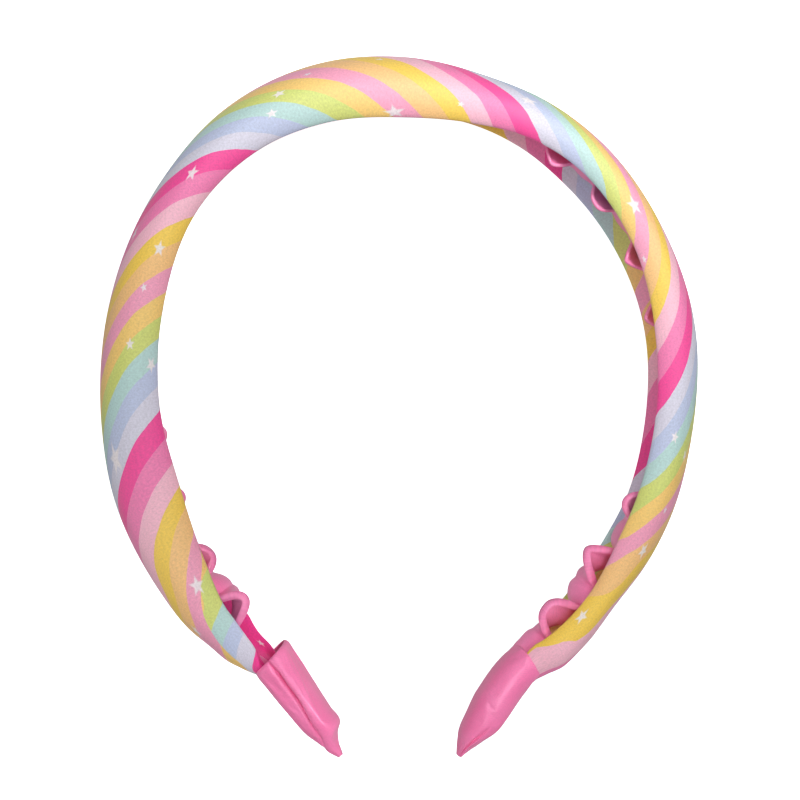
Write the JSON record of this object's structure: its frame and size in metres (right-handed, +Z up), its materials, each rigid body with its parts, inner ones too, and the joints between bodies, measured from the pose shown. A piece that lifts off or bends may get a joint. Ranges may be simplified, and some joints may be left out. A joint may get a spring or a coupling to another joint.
{
  "type": "padded headband",
  "caption": "Open horseshoe headband: a foam-padded satin roll with turned-in lips, a buckled ribbon lining along its inner side and a pointed satin sleeve on each end.",
  "frame": {"origin": "middle of the footprint, on the surface that the headband lies on", "axes": "+Y from the ends towards the crown of the arch, +X to the right with the crown away from the viewer, +Z up from the surface"},
  "size_m": [0.1444, 0.1704, 0.0271],
  "materials": {
    "striped_satin": "satin print",
    "ribbon_satin": "satin",
    "sleeve_satin": "satin"
  },
  "bodies": {
    "root": {"cover": "striped_satin", "lining": "ribbon_satin", "tip_left": "sleeve_satin", "tip_right": "sleeve_satin"}
  },
  "joints": []
}
